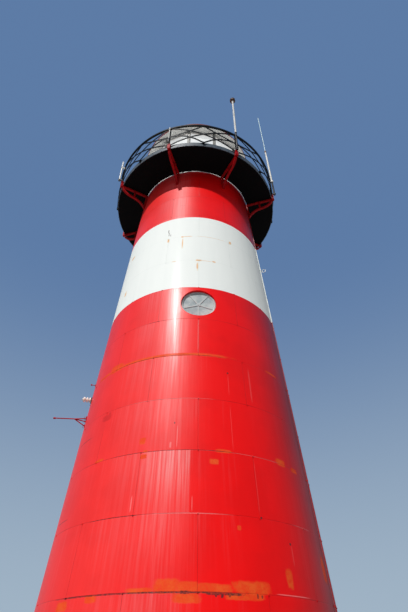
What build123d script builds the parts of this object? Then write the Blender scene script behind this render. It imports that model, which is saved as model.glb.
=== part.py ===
"""Coastal light tower of bolted iron plates, with a bracketed gallery and a glazed lantern.

Millimetres. Z is up and ground level is Z = 0, on the tower's axis. An azimuth of 0 degrees
points along -Y, the side with the front porthole, and grows towards +X. The ground door is at
the back.
"""

import math
import os

from build123d import *

# Tower shell: a plain cone of iron plates, thickness as cast
base_radius = 2524.5
wall_slope = 0.0676
shell_thickness = 25.0
tower_height = 12748.0
foot_course_height = 565.0
course_height = 900.0
plates_round = 8
plate_joint = 1.0
even_joint_azimuth = 25.3

# Clearance between pieces that seat on one another
seat_gap = 0.3

# Portholes in the second course of the window tier, each in the middle of a plate
porthole_count = 4
porthole_azimuth = even_joint_azimuth - 180.0 / plates_round
porthole_radius = 360.0
porthole_recess = 85.0
porthole_boss_wall = 22.0
porthole_boss_depth = 125.0
pane_thickness = 12.0

# Floors
ground_floor_thickness = 150.0
upper_floor_thickness = 40.0
lantern_floor_thickness = 42.0

# Entrance at the back, set upright in the sloping wall
door_azimuth = porthole_azimuth + 180.0
door_width = 860.0
door_height = 2000.0
door_thickness = 45.0
door_side_gap = 3.0
door_panel_rise = 8.0
door_rail_width = 110.0
door_frame_width = 60.0
door_frame_projection = 30.0
door_frame_depth = 270.0
door_set_back = 60.0
door_knob_radius = 28.0
door_knob_length = 60.0

# Gallery deck, its rim plate and the eight brackets under it
bracket_count = 8
bracket_azimuth = 26.6
deck_wall_gap = 16.0
deck_overhang = 810.0
deck_thickness = 30.0
rim_plate_thickness = 12.0
rim_plate_height = 170.0
bracket_width = 60.0
bracket_bar = 46.0
bracket_leg_drop = 640.0
bracket_knee_reach = 467.0
bracket_knee_drop = 325.0
bracket_knee_slope = 0.1
bracket_strut_reach = 412.0
bracket_strut_width = 40.0
bracket_tip_width = 84.0
bracket_tip_depth = 66.0
bracket_tip_drop = 55.0
bracket_tip_rise = 182.0

# Railing: posts, lattice of flat bars and a handrail
railing_stand_off = 37.0
post_size = 36.0
handrail_underside = 1062.0
handrail_height = 54.0
handrail_width = 50.0
lattice_bar_width = 46.0
lattice_bar_thickness = 16.0
lattice_steps = 8
lattice_low_drop = 48.0
lattice_foot_width = 64.0
lattice_foot_height = 60.0

# Lantern on top of the tower
lantern_sides = 12
lantern_corner_azimuth = 20.3
lantern_door_side = 5
lantern_set_back = 58.0
mullion_width = 60.0
mullion_depth = 70.0
sill_wall_height = 1050.0
sill_wall_thickness = 30.0
sill_cap_height = 45.0
sill_cap_thickness = 90.0
glazing_height = 1350.0
glazing_thickness = 10.0
head_bar_height = 65.0
head_bar_thickness = 60.0
lantern_door_height = 1900.0
lantern_door_thickness = 40.0

# Roof of the lantern
ceiling_thickness = 16.0
eave_overhang = 235.0
eave_drop = 8.0
eave_height = 44.0
roof_plate = 12.0
roof_rise = 780.0
roof_neck_radius = 190.0
ventilator_neck_height = 150.0
ventilator_cap_radius = 290.0
ventilator_cap_edge = 36.0
ventilator_cap_rise = 150.0
finial_radius = 42.0
finial_height = 130.0

# Poles and aerials clamped to the railing posts
pole_stand_off = 58.0
clamp_height = 40.0
clamp_low_rise = 40.0
clamp_top_drop = 160.0
clamp_width = 46.0
clamp_band = 6.0
mast_radius = 29.0
mast_length = 3140.0
mast_lamp_radius = 85.0
mast_lamp_height = 70.0
whip_base_radius = 26.0
whip_base_length = 2560.0
whip_joint_radius = 32.0
whip_joint_length = 90.0
whip_tip_radius = 12.0
whip_tip_length = 2580.0
whip_stand_off = 75.0
whip_lean = 1.0
tube_radius = 23.0
tube_length = 1050.0
tube_stand_off = 105.0
tube_cap_radius = 29.0
tube_cap_length = 70.0
short_pole_radius = 17.0
short_pole_length = 1060.0

# Lightning conductor down the wall
conductor_azimuth = 64.5
conductor_width = 12.0
conductor_stand_off = 14.0
conductor_top = 12600.0
conductor_bottom = 90.0
conductor_clip_size = 24.0

# Fittings on the wall, one side each
ring_azimuth = 73.6
ring_height = 9800.0
ring_outer_radius = 56.0
ring_bar = 18.0
ring_stem = 16.0
fitting_azimuth = -77.0
hook_height = 6268.0
hook_reach = 76.0
hook_bar = 14.0
hook_knob_radius = 17.0
hook_knob_length = 26.0
insulator_height = 5912.0
insulator_sheds = 3
insulator_radius = 52.0
insulator_core = 27.0
insulator_shed = 32.0
insulator_pitch = 58.0
insulator_plate = 140.0
insulator_plate_thickness = 12.0
insulator_plate_drop = 35.0
insulator_stub = 6.0
insulator_stub_radius = 20.0
outrigger_height = 5487.0
outrigger_spread = 150.0
outrigger_fork = 238.0
outrigger_leg_drop = 135.0
outrigger_reach = 640.0
outrigger_tip_drop = 28.0
outrigger_bar = 20.0
outrigger_foot = 60.0
outrigger_knob_radius = 17.0
outrigger_knob_length = 45.0

# Levels and radii worked out from the sizes above
top_radius = base_radius - wall_slope * tower_height
deck_inner_radius = top_radius + deck_wall_gap
deck_radius = top_radius + deck_overhang
railing_radius = deck_radius + railing_stand_off
lantern_corner_radius = top_radius - lantern_set_back
eave_radius = lantern_corner_radius + eave_overhang
base_tier_top = foot_course_height + 2 * course_height
lower_tier_top = base_tier_top + 2 * course_height
middle_tier_top = lower_tier_top + 2 * course_height
window_tier_top = middle_tier_top + 2 * course_height
white_tier_top = window_tier_top + 3 * course_height
porthole_height = window_tier_top - course_height / 2
deck_top = tower_height + deck_thickness
rim_top = tower_height + rim_plate_height
tip_top = tower_height + bracket_tip_rise
handrail_bottom = tower_height + handrail_underside
lattice_low = rim_top - lattice_low_drop
lantern_floor_top = tower_height + lantern_floor_thickness
sill_wall_top = lantern_floor_top + sill_wall_height
sill_top = sill_wall_top + sill_cap_height
head_bottom = sill_top + glazing_height
head_top = head_bottom + head_bar_height
lantern_half_angle = 180.0 / lantern_sides
lantern_apothem = lantern_corner_radius * math.cos(math.radians(lantern_half_angle))
lantern_half_side = lantern_corner_radius * math.sin(math.radians(lantern_half_angle))
lantern_door_azimuth = lantern_corner_azimuth + lantern_half_angle + 360.0 / lantern_sides * lantern_door_side


def wall_radius(height):
    """Radius of the shell's outer face at a height."""
    return base_radius - wall_slope * height


def bore_radius(height):
    """Radius of the shell's inner face at a height."""
    return wall_radius(height) - shell_thickness


def clear_of_wall(shape):
    """Cut a fitting back to a seating gap outside the shell."""
    low = wall_radius(0) + seat_gap
    high = wall_radius(tower_height) + seat_gap
    return shape - Pos(0, 0, tower_height / 2) * Cone(low, high, tower_height)


def facing(azimuth, shape):
    """Turn a shape that was made along +X so that it points to an azimuth."""
    return Rot(0, 0, azimuth - 90) * shape


def around(count, first_azimuth, shape):
    """Copies of a shape made along +X, spread evenly round the axis."""
    return [facing(first_azimuth + 360 / count * turn, shape) for turn in range(count)]


def outline_face(points):
    """Flat face in the XZ plane from a closed outline of (radius, height) points."""
    return Face(Wire.make_polygon([(radius, 0, height) for radius, height in points]))


def turned(points, sweep=360.0):
    """Solid of revolution about the tower's axis, centred on +X when it is a sector."""
    return Rot(0, 0, -sweep / 2) * revolve(outline_face(points), Axis.Z, revolution_arc=sweep)


def block(inner, outer, width, bottom, top):
    """Upright block from one radius to another, centred on +X."""
    centre = ((inner + outer) / 2, 0, (bottom + top) / 2)
    return Pos(*centre) * Box(outer - inner, width, top - bottom)


def upright(radius, bottom, top, reach):
    """Round bar that stands upright at a distance along +X."""
    return Pos(reach, 0, (bottom + top) / 2) * Cylinder(radius, top - bottom)


def spoke(radius, inner, outer, height):
    """Round bar along +X from one distance to another."""
    return Pos((inner + outer) / 2, 0, height) * Cylinder(radius, outer - inner, rotation=(0, 90, 0))


def save(node, shapes):
    """Write one node's solids to its file."""
    solids = [solid for shape in shapes for solid in shape.solids()]
    export_step(Compound(solids), os.path.join("parts", node + ".step"))


def sector_sweep(radius, gap):
    """Angle of one of the equal sectors round a radius, less the gap between two."""
    return 360 / plates_round - math.degrees(gap / radius)


def shell_course(number, bottom, top):
    """Plates of one course. Odd courses have their joints over the middle of even ones."""
    outline = [
        (bore_radius(bottom), bottom),
        (wall_radius(bottom), bottom),
        (wall_radius(top), top),
        (bore_radius(top), top),
    ]
    plate = turned(outline, sector_sweep(wall_radius(top), plate_joint))
    half_plate = 180 / plates_round
    middle = even_joint_azimuth + half_plate * (1 + number % 2)
    return around(plates_round, middle, plate)


def shell_tier(first_course, top):
    """Plates of the courses up to a level, each course a seating gap above the last."""
    plates = []
    number = first_course
    bottom = course_bottom(number)
    while bottom < top - seat_gap:
        ceiling_level = min(course_bottom(number + 1), top)
        low = bottom if number == first_course else bottom + seat_gap
        plates += shell_course(number, low, ceiling_level)
        number += 1
        bottom = course_bottom(number)
    return plates


def course_bottom(number):
    """Level of a course's lower seam. Course 0 stands on the ground."""
    return 0 if number == 0 else foot_course_height + (number - 1) * course_height


def porthole_boss():
    """Tube cast with the plate round a porthole, cut off along the outer face."""
    inner_end = wall_radius(porthole_height) - porthole_boss_depth
    tube = spoke(porthole_radius + porthole_boss_wall, inner_end, base_radius, porthole_height)
    bottom = porthole_height - course_height / 2
    top = porthole_height + course_height / 2
    body = Pos(0, 0, porthole_height) * Cone(wall_radius(bottom), wall_radius(top), course_height)
    return tube & body


def window_tier():
    """Plates with the portholes and their bosses."""
    plates = shell_tier(7, window_tier_top)
    bosses = around(porthole_count, porthole_azimuth, porthole_boss())
    reach = (bore_radius(porthole_height) / 2, base_radius)
    bores = around(porthole_count, porthole_azimuth, spoke(porthole_radius, *reach, porthole_height))
    finished = []
    for plate in plates:
        for boss, bore in zip(bosses, bores):
            if (plate & bore).solids():
                plate = plate + boss - bore
        finished.append(plate)
    return finished


def porthole_panes():
    """Round panes set back in the bosses."""
    outer = wall_radius(porthole_height) - porthole_recess
    pane = spoke(porthole_radius - seat_gap, outer - pane_thickness, outer, porthole_height)
    return around(porthole_count, porthole_azimuth, pane)


def door_frame_outline(extra):
    """Block of the entrance frame's outer size, larger by a clearance."""
    front = base_radius + door_frame_projection
    width = door_width + 2 * door_frame_width + 2 * extra
    top = ground_floor_thickness + door_height + door_frame_width + extra
    return block(front - door_frame_depth - extra, front + extra, width, -extra, top)


def entrance_frame():
    """Threshold, jambs and head as one casting."""
    front = base_radius + door_frame_projection
    sill = ground_floor_thickness
    void = block(front - 2 * door_frame_depth, 2 * front, door_width, sill, sill + door_height)
    return [facing(door_azimuth, door_frame_outline(0) - void)]


def door_leaf_outer():
    """Radius of the entrance leaf's outer face."""
    return base_radius + door_frame_projection - door_set_back


def entrance_door():
    """Iron leaf on its threshold, with two raised panels."""
    outer = door_leaf_outer()
    sill = ground_floor_thickness
    top = sill + door_height - door_side_gap
    leaf = block(outer - door_thickness, outer, door_width - 2 * door_side_gap, sill, top)
    panel_height = (door_height - 3 * door_rail_width) / 2
    for row in range(2):
        low = sill + door_rail_width + row * (panel_height + door_rail_width)
        width = door_width - 2 * door_rail_width
        leaf += block(outer - door_panel_rise, outer + door_panel_rise, width, low, low + panel_height)
    return [facing(door_azimuth, leaf)]


def entrance_knob():
    """Round knob on the leaf's closing edge, half-way up."""
    outer = door_leaf_outer()
    height = ground_floor_thickness + door_height / 2
    knob = spoke(door_knob_radius, outer, outer + door_knob_length, height)
    shift = door_width / 2 - door_rail_width / 2
    return [facing(door_azimuth, Pos(0, shift, 0) * knob)]


def base_tier():
    """Plates of the base, cut for the entrance frame."""
    opening = facing(door_azimuth, door_frame_outline(seat_gap))
    return [plate - opening for plate in shell_tier(0, base_tier_top)]


def floor_disc(bottom, top):
    """Round floor that fits the sloping bore."""
    return turned([
        (0, bottom),
        (bore_radius(bottom) - seat_gap, bottom),
        (bore_radius(top) - seat_gap, top),
        (0, top),
    ])


def ground_floor():
    """Slab inside the base, notched for the threshold."""
    slab = floor_disc(0, ground_floor_thickness)
    return [slab - facing(door_azimuth, door_frame_outline(seat_gap))]


def lantern_floor():
    """Round plate on the top edge of the shell."""
    low = tower_height
    top = lantern_floor_top
    return [turned([(0, low), (top_radius, low), (top_radius, top), (0, top)])]


def ring_sectors(inner, outer, bottom, top):
    """Ring of square section in equal sectors from bracket to bracket."""
    outline = [(inner, bottom), (outer, bottom), (outer, top), (inner, top)]
    sector = turned(outline, sector_sweep(outer, plate_joint))
    return around(plates_round, bracket_azimuth + 180 / plates_round, sector)


def bracket():
    """Open iron bracket: leg on the wall, chord under the deck, curved chord and strut."""
    top = tower_height
    half = bracket_bar / 2
    foot = top - bracket_leg_drop
    knee = (top_radius + bracket_knee_reach, 0, top - bracket_knee_drop)
    tip = (deck_radius + bracket_tip_depth / 2, 0, top)
    heel = (wall_radius(foot) + half + seat_gap, 0, foot + half)
    out_arc = TangentArc(knee, tip, tangent=(1, 0, bracket_knee_slope))
    in_arc = TangentArc(knee, heel, tangent=(-1, 0, -bracket_knee_slope))
    chord = Plane.XZ.to_local_coords(Curve() + [out_arc, in_arc])
    curved = Plane.XZ * trace(chord, bracket_bar)
    leg = outline_face([
        (wall_radius(foot) + seat_gap, foot),
        (wall_radius(foot) + bracket_bar, foot),
        (top_radius + bracket_bar, top),
        (top_radius + seat_gap, top),
    ])
    upper = outline_face([
        (top_radius + half, top - bracket_bar),
        (deck_radius, top - bracket_bar),
        (deck_radius, top),
        (top_radius + half, top),
    ])
    strut_inner = top_radius + bracket_strut_reach - bracket_strut_width / 2
    strut = outline_face([
        (strut_inner, knee[2]),
        (strut_inner + bracket_strut_width, knee[2]),
        (strut_inner + bracket_strut_width, top - half),
        (strut_inner, top - half),
    ])
    frame = extrude(curved + [leg, upper, strut], bracket_width / 2, dir=(0, 1, 0), both=True)
    beyond = 2 * bracket_tip_depth
    frame -= block(0, deck_radius + beyond, 2 * bracket_width, top, top + beyond)
    frame -= block(deck_radius, deck_radius + beyond, 2 * bracket_width, top - beyond, top + beyond)
    return frame


def bracket_tip():
    """Block on the bracket's end and the rim plate, which carries a railing post."""
    inner = deck_radius + seat_gap
    low = tower_height - bracket_tip_drop
    return block(inner, inner + bracket_tip_depth, bracket_tip_width, low, tip_top)


def handrail():
    """Flat rail in sectors that meet over the posts."""
    half = handrail_width / 2
    top = handrail_bottom + handrail_height
    return ring_sectors(railing_radius - half, railing_radius + half, handrail_bottom, top)


def railing_posts():
    """Square posts between the bracket tips and the handrail."""
    half = post_size / 2
    post = block(railing_radius - half, railing_radius + half, post_size, tip_top, handrail_bottom)
    return around(bracket_count, bracket_azimuth, post)


def lattice_bar(start_angle, start_height, end_angle, end_height):
    """Flat bar between two points of the railing's drum, with a little overlap at each end."""
    def point(angle, height):
        turn = math.radians(angle)
        return Vector(railing_radius * math.cos(turn), railing_radius * math.sin(turn), height)

    start = point(start_angle, start_height)
    end = point(end_angle, end_height)
    middle = (start + end) * 0.5
    outward = Vector(middle.X, middle.Y, 0)
    plane = Plane(origin=middle, x_dir=end - start, z_dir=outward)
    length = (end - start).length + lattice_bar_thickness
    return plane * Box(length, lattice_bar_width, lattice_bar_thickness)


def lattice_levels(share):
    """Heights of the four bars of a bay at a share of its width."""
    low = lattice_low
    high = handrail_bottom + handrail_height / 2
    middle = (low + high) / 2
    rise = (high - low) * share
    bend = (high - middle) * (1 - abs(2 * share - 1)) ** 2
    return [low + rise, high - rise, middle + bend, middle - bend]


def lattice_panel():
    """One bay: two bars from corner to corner, and two that bend in to the posts' middle."""
    bay = 360 / bracket_count
    bars = []
    for step in range(lattice_steps):
        start = step / lattice_steps
        end = (step + 1) / lattice_steps
        for first, second in zip(lattice_levels(start), lattice_levels(end)):
            bars.append(lattice_bar(bay * (start - 0.5), first, bay * (end - 0.5), second))
    panel = bars[0].fuse(*bars[1:])
    inner = railing_radius - lattice_bar_width
    outer = railing_radius + lattice_bar_width
    bottom = lattice_low - lattice_bar_width / 2
    top = handrail_bottom
    clear = post_size / 2 + seat_gap
    sweep = bay - 2 * math.degrees(math.asin(clear / (railing_radius - lattice_bar_thickness)))
    panel = panel & turned([(inner, bottom), (outer, bottom), (outer, top), (inner, top)], sweep)
    tip = block(deck_radius, outer, bracket_tip_width + 2 * seat_gap, tower_height, tip_top + seat_gap)
    for turn in (-bay / 2, bay / 2):
        panel -= Rot(0, 0, turn) * tip
    low = lattice_low - lattice_foot_height / 2
    foot_outer = railing_radius + lattice_bar_thickness
    foot = block(deck_radius + seat_gap, foot_outer, lattice_foot_width, low, low + lattice_foot_height)
    return panel + foot


def lantern_panel(middle_radius, thickness, bottom, top):
    """Upright panel that fits between two mullions of one side."""
    half_angle = math.radians(lantern_half_angle)
    end_gap = (mullion_width / 2 + seat_gap + thickness / 2 * math.sin(half_angle)) / math.cos(half_angle)
    length = 2 * (lantern_half_side - end_gap)
    return block(middle_radius - thickness / 2, middle_radius + thickness / 2, length, bottom, top)


def lantern_ring(thickness, bottom, top, skip_door=False):
    """One panel on each side of the lantern, with the door's side left out on request."""
    panel = lantern_panel(lantern_apothem, thickness, bottom, top)
    sides = around(lantern_sides, lantern_door_azimuth, panel)
    return sides[1:] if skip_door else sides


def mullions():
    """Corner posts of the lantern, from its floor to its ceiling."""
    outer = lantern_corner_radius + mullion_depth / 2
    post = block(outer - mullion_depth, outer, mullion_width, lantern_floor_top, head_top)
    return around(lantern_sides, lantern_corner_azimuth, post)


def lantern_glazing():
    """Panes between sill and head, with a short one over the door."""
    panes = lantern_ring(glazing_thickness, sill_top, head_bottom, skip_door=True)
    over_door = lantern_floor_top + lantern_door_height
    short = lantern_panel(lantern_apothem, glazing_thickness, over_door, head_bottom)
    return panes + [facing(lantern_door_azimuth, short)]


def lantern_door():
    """Plain leaf on the lantern's back side."""
    top = lantern_floor_top + lantern_door_height
    leaf = lantern_panel(lantern_apothem, lantern_door_thickness, lantern_floor_top, top)
    return [facing(lantern_door_azimuth, leaf)]


def ceiling():
    """Round plate on the head bars, which is also the soffit of the eave."""
    radius = eave_radius - roof_plate - seat_gap
    top = head_top + ceiling_thickness
    return [turned([(0, head_top), (radius, head_top), (radius, top), (0, top)])]


def roof():
    """Hollow cone with an upright edge round the eave."""
    low = head_top - eave_drop
    eave_top = low + eave_height
    neck = eave_top + roof_rise
    return [turned([
        (eave_radius - roof_plate, low),
        (eave_radius, low),
        (eave_radius, eave_top),
        (roof_neck_radius, neck),
        (roof_neck_radius, neck - roof_plate),
        (eave_radius - roof_plate, eave_top - roof_plate / 2),
    ])]


def ventilator():
    """Neck, mushroom cap and finial over the roof's opening."""
    neck = head_top - eave_drop + eave_height + roof_rise
    cap = neck + ventilator_neck_height
    cap_top = cap + ventilator_cap_edge
    finial = cap_top + ventilator_cap_rise
    return [turned([
        (0, neck),
        (roof_neck_radius, neck),
        (roof_neck_radius, cap),
        (ventilator_cap_radius, cap),
        (ventilator_cap_radius, cap_top),
        (finial_radius, finial),
        (finial_radius, finial + finial_height),
        (0, finial + finial_height),
    ])]


def post_clamps(heights, pole_reach, pole_radius):
    """Clamp blocks between a railing post's outer face and the far side of a pole."""
    face = railing_radius + post_size / 2 + seat_gap
    clamps = []
    for height in heights:
        far_side = pole_reach + pole_radius + clamp_band
        clamps.append(block(face, far_side, clamp_width, height, height + clamp_height))
    return clamps


def clamp_heights():
    """Two levels of clamps, above the bracket tip and under the handrail."""
    return [tip_top + clamp_low_rise, handrail_bottom - clamp_top_drop]


def mast():
    """Pole with a small round lamp on top."""
    reach = railing_radius + pole_stand_off
    top = tip_top + mast_length
    pole = upright(mast_radius, tip_top, top, reach)
    for clamp in post_clamps(clamp_heights(), reach, mast_radius):
        pole += clamp
    pole += upright(mast_lamp_radius, top, top + mast_lamp_height, reach)
    return [facing(bracket_azimuth, pole)]


def whip_aerial():
    """Thick lower rod, a joint and a thin whip, which lean in a little over their foot."""
    reach = railing_radius + whip_stand_off
    joint = tip_top + whip_base_length
    tip = joint + whip_joint_length
    rod = upright(whip_base_radius, tip_top, joint, reach)
    rod += upright(whip_joint_radius, joint, tip, reach)
    rod += upright(whip_tip_radius, tip, tip + whip_tip_length, reach)
    rod = Pos(reach, 0, tip_top) * Rot(0, -whip_lean, 0) * Pos(-reach, 0, -tip_top) * rod
    for clamp in post_clamps(clamp_heights(), reach, whip_base_radius):
        rod += clamp
    return [facing(bracket_azimuth + 360 / bracket_count, rod)]


def tube_aerial():
    """Short tube with an end cap, held off its post by two arms."""
    reach = railing_radius + tube_stand_off
    tube = upright(tube_radius, tip_top, tip_top + tube_length, reach)
    tube += upright(tube_cap_radius, tip_top, tip_top + tube_cap_length, reach)
    for clamp in post_clamps(clamp_heights(), reach, tube_radius):
        tube += clamp
    return [facing(bracket_azimuth - 360 / bracket_count * 2, tube)]


def short_pole():
    """Thin pole along one post, ending just over the handrail."""
    reach = railing_radius + pole_stand_off
    pole = upright(short_pole_radius, tip_top, tip_top + short_pole_length, reach)
    for clamp in post_clamps(clamp_heights(), reach, short_pole_radius):
        pole += clamp
    return [facing(bracket_azimuth - 360 / bracket_count, pole)]


def lightning_conductor():
    """Square bar parallel to the wall, on a clip at each second seam."""
    def line(height):
        return Vector(wall_radius(height) + conductor_stand_off, 0, height)

    low = line(conductor_bottom)
    high = line(conductor_top)
    plane = Plane(origin=(low + high) * 0.5, x_dir=(0, 1, 0), z_dir=high - low)
    bar = plane * Box(conductor_width, conductor_width, (high - low).length)
    half = conductor_clip_size / 2
    seam = foot_course_height
    while seam < conductor_top:
        outer = wall_radius(seam) + conductor_stand_off + conductor_width
        bar += block(wall_radius(seam) - half, outer, conductor_clip_size, seam - half, seam + half)
        seam += 2 * course_height
    return [facing(conductor_azimuth, clear_of_wall(bar))]


def eye_ring():
    """Upright ring on a short stem."""
    face = wall_radius(ring_height - ring_bar / 2) + seat_gap
    centre = face + ring_stem + ring_outer_radius
    bar = ring_bar / 2
    ring = Pos(centre, 0, ring_height) * Rot(90, 0, 0) * Torus(ring_outer_radius - bar, bar)
    stem = spoke(bar, face - ring_bar, face + ring_stem + bar, ring_height)
    return [facing(ring_azimuth, clear_of_wall(ring + stem))]


def wall_hook():
    """Short bar with a thick knob on its end."""
    start = wall_radius(hook_height) - hook_bar
    knob = wall_radius(hook_height) + hook_reach
    bar = spoke(hook_bar / 2, start, knob, hook_height)
    bar += spoke(hook_knob_radius, knob, knob + hook_knob_length, hook_height)
    return [facing(fitting_azimuth, clear_of_wall(bar))]


def insulator_seat():
    """Radius at which the insulator starts, at the end of its stub."""
    return wall_radius(insulator_height) + insulator_plate_thickness + insulator_stub


def insulator_bracket():
    """Square wall plate with a stub that the insulator is fixed to."""
    half = insulator_plate / 2
    low = insulator_height - half - insulator_plate_drop
    top = insulator_height + half - insulator_plate_drop
    inner = wall_radius(insulator_height) - insulator_plate_thickness
    plate = block(inner, inner + 2 * insulator_plate_thickness, insulator_plate, low, top)
    stub = spoke(insulator_stub_radius, inner, insulator_seat(), insulator_height)
    return [facing(fitting_azimuth, clear_of_wall(plate + stub))]


def insulators():
    """Turned body with broad sheds, which lies along the stub."""
    start = insulator_seat() + seat_gap
    outline = [(0, start)]
    for number in range(insulator_sheds):
        shed = start + number * insulator_pitch
        outline += [
            (insulator_radius, shed),
            (insulator_radius, shed + insulator_shed),
            (insulator_core, shed + insulator_shed),
            (insulator_core, shed + insulator_pitch),
        ]
    outline.append((0, outline[-1][1]))
    body = revolve(outline_face(outline), Axis.Z)
    lying = Pos(0, 0, insulator_height) * Rot(0, 90, 0) * body
    return [facing(fitting_azimuth, lying)]


def bar_between(start, end, radius):
    """Round bar between two points."""
    start = Vector(*start)
    end = Vector(*end)
    return Plane(origin=(start + end) * 0.5, z_dir=end - start) * Cylinder(radius, (end - start).length)


def outrigger():
    """Arm with a knob on its tip, on three legs that spread to one foot plate each."""
    level = outrigger_height
    half = outrigger_spread / 2
    face = wall_radius(level)
    fork = (face + outrigger_fork, 0, level)
    tip_level = level - outrigger_tip_drop
    tip = face + outrigger_reach
    arm = bar_between(fork, (tip, 0, tip_level), outrigger_bar / 2)
    arm += spoke(outrigger_knob_radius, tip - outrigger_knob_length, tip, tip_level)
    feet = [(-half, level), (half, level), (0, level - outrigger_leg_drop)]
    for side, height in feet:
        foot = wall_radius(height)
        arm += bar_between((foot, side, height), fork, outrigger_bar / 2)
        arm += Pos(foot, side, height) * Box(2 * outrigger_bar, outrigger_foot, outrigger_foot)
    return [facing(fitting_azimuth - 1, clear_of_wall(arm))]


def build():
    """Write every node."""
    os.makedirs("parts", exist_ok=True)
    save("base_tier", base_tier())
    save("lower_tier", shell_tier(3, lower_tier_top))
    save("middle_tier", shell_tier(5, middle_tier_top))
    save("window_tier", window_tier())
    save("white_tier", shell_tier(9, white_tier_top))
    save("crown_tier", shell_tier(12, tower_height))
    save("ground_floor", ground_floor())
    save("upper_floor", [floor_disc(middle_tier_top - upper_floor_thickness, middle_tier_top)])
    save("lantern_floor", lantern_floor())
    save("porthole_panes", porthole_panes())
    save("entrance_frame", entrance_frame())
    save("entrance_door", entrance_door())
    save("entrance_knob", entrance_knob())
    deck_edge = deck_radius - rim_plate_thickness
    save("gallery_deck", ring_sectors(deck_inner_radius, deck_edge, tower_height, deck_top))
    save("gallery_rim", ring_sectors(deck_edge, deck_radius, tower_height, rim_top))
    save("gallery_brackets", around(bracket_count, bracket_azimuth, bracket()))
    save("bracket_tips", around(bracket_count, bracket_azimuth, bracket_tip()))
    save("railing_posts", railing_posts())
    save("railing_lattice", around(bracket_count, bracket_azimuth + 180 / bracket_count, lattice_panel()))
    save("handrail", handrail())
    save("lantern_wall", lantern_ring(sill_wall_thickness, lantern_floor_top, sill_wall_top, skip_door=True))
    save("lantern_sill", lantern_ring(sill_cap_thickness, sill_wall_top, sill_top, skip_door=True))
    save("lantern_mullions", mullions())
    save("lantern_glazing", lantern_glazing())
    save("lantern_head", lantern_ring(head_bar_thickness, head_bottom, head_top))
    save("lantern_door", lantern_door())
    save("lantern_ceiling", ceiling())
    save("lantern_roof", roof())
    save("roof_ventilator", ventilator())
    save("mast", mast())
    save("whip_aerial", whip_aerial())
    save("tube_aerial", tube_aerial())
    save("short_pole", short_pole())
    save("lightning_conductor", lightning_conductor())
    save("eye_ring", eye_ring())
    save("wall_hook", wall_hook())
    save("insulator_bracket", insulator_bracket())
    save("insulators", insulators())
    save("outrigger", outrigger())


build()
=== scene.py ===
"""Looks of the light tower: worn red and white gloss paint on iron plates, a black gallery
with a lattice railing, a glazed lantern, and small fittings on the railing and the wall.

Metres, in the part's own frame. Z is up. An azimuth of 0 degrees points along -Y, the side
with the front porthole, and grows towards +X.
"""

import math

import bpy
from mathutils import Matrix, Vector


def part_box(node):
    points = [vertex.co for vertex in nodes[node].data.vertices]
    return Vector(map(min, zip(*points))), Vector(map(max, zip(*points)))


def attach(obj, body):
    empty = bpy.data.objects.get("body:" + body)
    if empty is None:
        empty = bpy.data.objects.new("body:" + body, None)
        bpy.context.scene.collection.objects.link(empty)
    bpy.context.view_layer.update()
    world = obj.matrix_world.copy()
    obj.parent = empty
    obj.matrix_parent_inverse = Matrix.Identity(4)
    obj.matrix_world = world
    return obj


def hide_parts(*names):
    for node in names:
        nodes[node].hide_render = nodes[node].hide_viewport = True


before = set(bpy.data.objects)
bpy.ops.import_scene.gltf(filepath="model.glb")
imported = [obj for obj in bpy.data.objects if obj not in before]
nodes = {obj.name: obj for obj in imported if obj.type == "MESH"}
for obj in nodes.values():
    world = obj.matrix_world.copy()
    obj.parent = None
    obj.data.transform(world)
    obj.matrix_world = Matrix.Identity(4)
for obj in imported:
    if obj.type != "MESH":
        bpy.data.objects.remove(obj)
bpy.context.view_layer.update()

# Shell: a cone of plates in courses
foot_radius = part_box("base_tier")[1].x
crown_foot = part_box("crown_tier")[0].z
tower_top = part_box("crown_tier")[1].z
wall_slope = (foot_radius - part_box("crown_tier")[1].x) / crown_foot
first_seam = 0.565
course_height = (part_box("lower_tier")[1].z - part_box("lower_tier")[0].z) / 2
even_joint = 25.3
joint_step = 45.0
band_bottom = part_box("white_tier")[0].z
band_top = crown_foot - 0.09

# Portholes
porthole_azimuth = even_joint - joint_step / 2
porthole_level = (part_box("porthole_panes")[0].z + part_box("porthole_panes")[1].z) / 2
porthole_radius = (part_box("porthole_panes")[1].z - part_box("porthole_panes")[0].z) / 2
pane_recess = 0.085
porthole_count = 4

# Gallery
bracket_count = 8
bay = 360.0 / bracket_count
bracket_azimuth = 26.6
deck_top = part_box("gallery_deck")[1].z
deck_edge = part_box("gallery_rim")[1].x
tip_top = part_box("bracket_tips")[1].z
tip_reach = 0.0663
rail_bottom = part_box("handrail")[0].z
rail_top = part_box("handrail")[1].z
rail_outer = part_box("handrail")[1].x
railing_radius = rail_outer - 0.025
lattice_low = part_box("gallery_rim")[1].z - 0.048
lattice_high = (rail_bottom + rail_top) / 2

# Lantern
lantern_corner = 20.3
lantern_sides = 12
door_side = 5
lantern_radius = foot_radius - wall_slope * tower_top - 0.058
half_side = math.radians(180.0 / lantern_sides)
apothem = lantern_radius * math.cos(half_side)
pane_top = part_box("lantern_glazing")[1].z
eave_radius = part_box("lantern_roof")[1].x
eave_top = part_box("lantern_roof")[0].z + 0.044
neck_radius = 0.19

# Poles and aerials: azimuth, distance from the railing, and levels of joints and clamps
mast_azimuth = bracket_azimuth
whip_azimuth = bracket_azimuth + bay
short_pole_azimuth = bracket_azimuth - bay
tube_azimuth = bracket_azimuth - 2 * bay
mast_stand_off = 0.058
whip_stand_off = 0.075
tube_stand_off = 0.105
mast_low, mast_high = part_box("mast")
mast_joint = mast_low.z + 0.97
lamp_foot = mast_high.z - 0.07
whip_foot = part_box("whip_aerial")[0].z
tube_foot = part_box("tube_aerial")[0].z
short_pole_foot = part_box("short_pole")[0].z
socket_height = 0.24
clamp_levels = (tip_top + 0.06, rail_bottom - 0.14)


def wall_radius(level):
    """Radius of the shell's outer face at a level."""
    return foot_radius - wall_slope * level


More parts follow.
